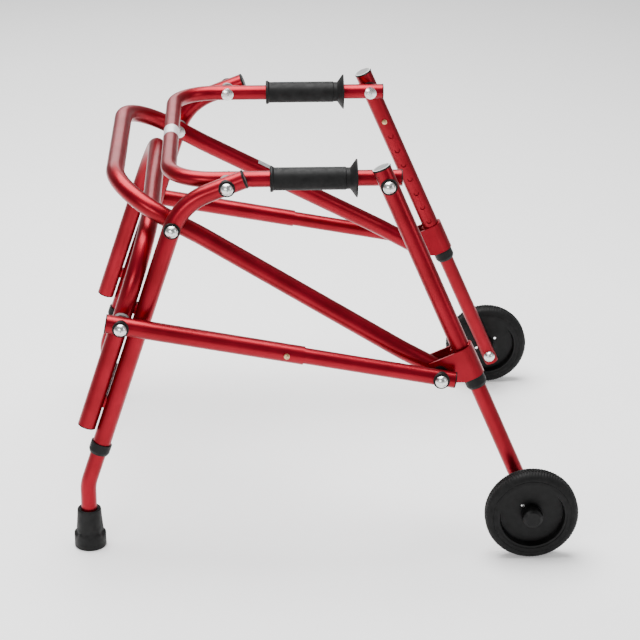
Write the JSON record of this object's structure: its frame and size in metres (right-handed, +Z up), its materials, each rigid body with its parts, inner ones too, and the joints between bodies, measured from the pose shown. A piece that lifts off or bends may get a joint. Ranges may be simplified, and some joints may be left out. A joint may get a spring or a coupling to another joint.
{
  "type": "child walking frame",
  "caption": "Folding posterior walking frame for a child: bent metal tubes, rear handlebar with grips, two front wheels, two rubber-tipped rear legs and telescopic side bars.",
  "frame": {"origin": "on the floor, under the middle of the frame's length and width", "axes": "+X forward to the wheels, the way the child walks; +Y to the child's left; +Z up"},
  "size_m": [0.703, 0.654, 0.553],
  "materials": {
    "red_tube": "satin red anodised metallic",
    "black_plastic": "matte black",
    "grey_plastic": "matte grey",
    "rubber": "near-black rubber",
    "tyre": "near-black with a fine tread",
    "bright_steel": "bright zinc plated",
    "brass": "dull",
    "label": "blank silvery film"
  },
  "bodies": {
    "rear_frame": {"rear_leg_left": "red_tube", "rear_leg_right": "red_tube", "rear_arch": "red_tube", "arch_tabs": "red_tube", "rear_leg_caps": "grey_plastic", "arch_plugs": "black_plastic", "rear_collars": "black_plastic", "leg_pivot_rings": "black_plastic", "leg_pivot_spacers": "black_plastic", "side_pivot_bolts": "bright_steel"},
    "handlebar": {"handlebar": "red_tube", "grip_left": "rubber", "grip_right": "rubber", "handlebar_plugs": "black_plastic", "handlebar_bolts": "bright_steel", "handlebar_label": "label"},
    "back_loop": {"back_loop": "red_tube", "loop_bolts": "bright_steel"},
    "front_leg_left": {"front_leg_left": "red_tube", "front_bracket_left": "red_tube", "front_leg_cap_left": "grey_plastic", "front_collar_left": "black_plastic", "front_pivot_bolts_left": "bright_steel", "front_pivot_rings_left": "black_plastic"},
    "front_leg_inner_left": {"front_leg_inner_left": "red_tube", "axle_bolt_left": "bright_steel"},
    "front_button_left": {"front_button_left": "brass"},
    "wheel_left": {"tyre_left": "tyre", "wheel_hub_left": "black_plastic", "hub_cap_left": "black_plastic"},
    "rear_leg_inner_left": {"rear_leg_inner_left": "red_tube", "rubber_tip_left": "rubber"},
    "rear_button_left": {"rear_button_left": "brass"},
    "side_bar_outer_left": {"side_bar_outer_left": "red_tube", "side_bar_rear_trim_left": "black_plastic"},
    "side_bar_inner_left": {"side_bar_inner_left": "red_tube", "side_bar_front_trim_left": "black_plastic", "side_bar_bolt_left": "bright_steel"},
    "side_button_left": {"side_button_left": "brass"},
    "front_leg_right": {"front_leg_right": "red_tube", "front_bracket_right": "red_tube", "front_leg_cap_right": "grey_plastic", "front_collar_right": "black_plastic", "front_pivot_bolts_right": "bright_steel", "front_pivot_rings_right": "black_plastic"},
    "front_leg_inner_right": {"front_leg_inner_right": "red_tube", "axle_bolt_right": "bright_steel"},
    "front_button_right": {"front_button_right": "brass"},
    "wheel_right": {"tyre_right": "tyre", "wheel_hub_right": "black_plastic", "hub_cap_right": "black_plastic"},
    "rear_leg_inner_right": {"rear_leg_inner_right": "red_tube", "rubber_tip_right": "rubber"},
    "rear_button_right": {"rear_button_right": "brass"},
    "side_bar_outer_right": {"side_bar_outer_right": "red_tube", "side_bar_rear_trim_right": "black_plastic"},
    "side_bar_inner_right": {"side_bar_inner_right": "red_tube", "side_bar_front_trim_right": "black_plastic", "side_bar_bolt_right": "bright_steel"},
    "side_button_right": {"side_button_right": "brass"}
  },
  "joints": [
    {"name": "fold", "type": "hinge", "parent": "rear_frame", "child": "back_loop", "pos_m": [-0.2035, 0, 0.4662], "axis": [0, 1, 0], "range_deg": [0, 60]},
    {"name": "handlebar_fold", "type": "hinge", "parent": "rear_frame", "child": "handlebar", "pos_m": [-0.1291, 0, 0.524], "axis": [0, 1, 0], "range_deg": [-1, 87]},
    {"name": "front_leg_fold_left", "type": "hinge", "parent": "back_loop", "child": "front_leg_left", "pos_m": [0.15873, 0.24842, 0.26042], "axis": [0, 1, 0], "range_deg": [-28, 1]},
    {"name": "side_bar_fold_left", "type": "hinge", "parent": "rear_frame", "child": "side_bar_outer_left", "pos_m": [-0.27424, 0.2749, 0.34127], "axis": [0, 1, 0], "range_deg": [-1, 67]},
    {"name": "side_bar_slide_left", "type": "slide", "parent": "side_bar_outer_left", "child": "side_bar_inner_left", "axis": [0.983, 0.0102, -0.1836], "range_m": [-0.1416, 0.002], "deforming": ["side_button_left"]},
    {"name": "side_button_press_left", "type": "slide", "parent": "side_bar_inner_left", "child": "side_button_left", "axis": [0, -1, 0], "range_m": [0, 0.0048]},
    {"name": "front_leg_height_left", "type": "slide", "parent": "front_leg_left", "child": "front_leg_inner_left", "axis": [0.3974, 0.0522, -0.9162], "range_m": [0, 0.182], "deforming": ["front_button_left"]},
    {"name": "front_button_press_left", "type": "slide", "parent": "front_leg_inner_left", "child": "front_button_left", "axis": [0, 1, 0], "range_m": [0, 0.0045], "stiffness_N_per_m": 900, "springref_m": -0.001},
    {"name": "wheel_spin_left", "type": "hinge", "parent": "front_leg_inner_left", "child": "wheel_left", "pos_m": [0.2865, 0.3045, 0.065], "axis": [0, 1, 0], "continuous": true},
    {"name": "rear_leg_height_left", "type": "slide", "parent": "rear_frame", "child": "rear_leg_inner_left", "axis": [-0.32, 0.0426, -0.9465], "range_m": [0, 0.182], "deforming": ["rear_button_left"]},
    {"name": "rear_button_press_left", "type": "slide", "parent": "rear_leg_inner_left", "child": "rear_button_left", "axis": [0, 1, 0], "range_m": [0, 0.0045], "stiffness_N_per_m": 900, "springref_m": -0.001},
    {"name": "front_leg_fold_right", "type": "hinge", "parent": "back_loop", "child": "front_leg_right", "pos_m": [0.15873, -0.24842, 0.26042], "axis": [0, 1, 0], "range_deg": [-28, 1]},
    {"name": "side_bar_fold_right", "type": "hinge", "parent": "rear_frame", "child": "side_bar_outer_right", "pos_m": [-0.27424, -0.2749, 0.34127], "axis": [0, 1, 0], "range_deg": [-1, 67]},
    {"name": "side_bar_slide_right", "type": "slide", "parent": "side_bar_outer_right", "child": "side_bar_inner_right", "axis": [0.983, -0.0102, -0.1836], "range_m": [-0.1416, 0.002], "deforming": ["side_button_right"]},
    {"name": "side_button_press_right", "type": "slide", "parent": "side_bar_inner_right", "child": "side_button_right", "axis": [0, 1, 0], "range_m": [0, 0.0048]},
    {"name": "front_leg_height_right", "type": "slide", "parent": "front_leg_right", "child": "front_leg_inner_right", "axis": [0.3974, -0.0522, -0.9162], "range_m": [0, 0.182], "deforming": ["front_button_right"]},
    {"name": "front_button_press_right", "type": "slide", "parent": "front_leg_inner_right", "child": "front_button_right", "axis": [0, -1, 0], "range_m": [0, 0.0045], "stiffness_N_per_m": 900, "springref_m": -0.001},
    {"name": "wheel_spin_right", "type": "hinge", "parent": "front_leg_inner_right", "child": "wheel_right", "pos_m": [0.2865, -0.3045, 0.065], "axis": [0, 1, 0], "continuous": true},
    {"name": "rear_leg_height_right", "type": "slide", "parent": "rear_frame", "child": "rear_leg_inner_right", "axis": [-0.32, -0.0426, -0.9465], "range_m": [0, 0.182], "deforming": ["rear_button_right"]},
    {"name": "rear_button_press_right", "type": "slide", "parent": "rear_leg_inner_right", "child": "rear_button_right", "axis": [0, -1, 0], "range_m": [0, 0.0045], "stiffness_N_per_m": 900, "springref_m": -0.001}
  ],
  "couplings": [
    {"joint": "handlebar_fold", "follows": "fold", "ratio": 1.4275},
    {"joint": "front_leg_fold_left", "follows": "fold", "ratio": -0.43456},
    {"joint": "side_bar_fold_left", "follows": "fold", "ratio": 1.0875},
    {"joint": "side_bar_slide_left", "follows": "fold", "m_per_rad": -0.13335},
    {"joint": "side_button_press_left", "follows": "fold", "m_per_rad": 0.004488},
    {"joint": "front_leg_fold_right", "follows": "fold", "ratio": -0.43456},
    {"joint": "side_bar_fold_right", "follows": "fold", "ratio": 1.0875},
    {"joint": "side_bar_slide_right", "follows": "fold", "m_per_rad": -0.13335},
    {"joint": "side_button_press_right", "follows": "fold", "m_per_rad": 0.004488}
  ]
}
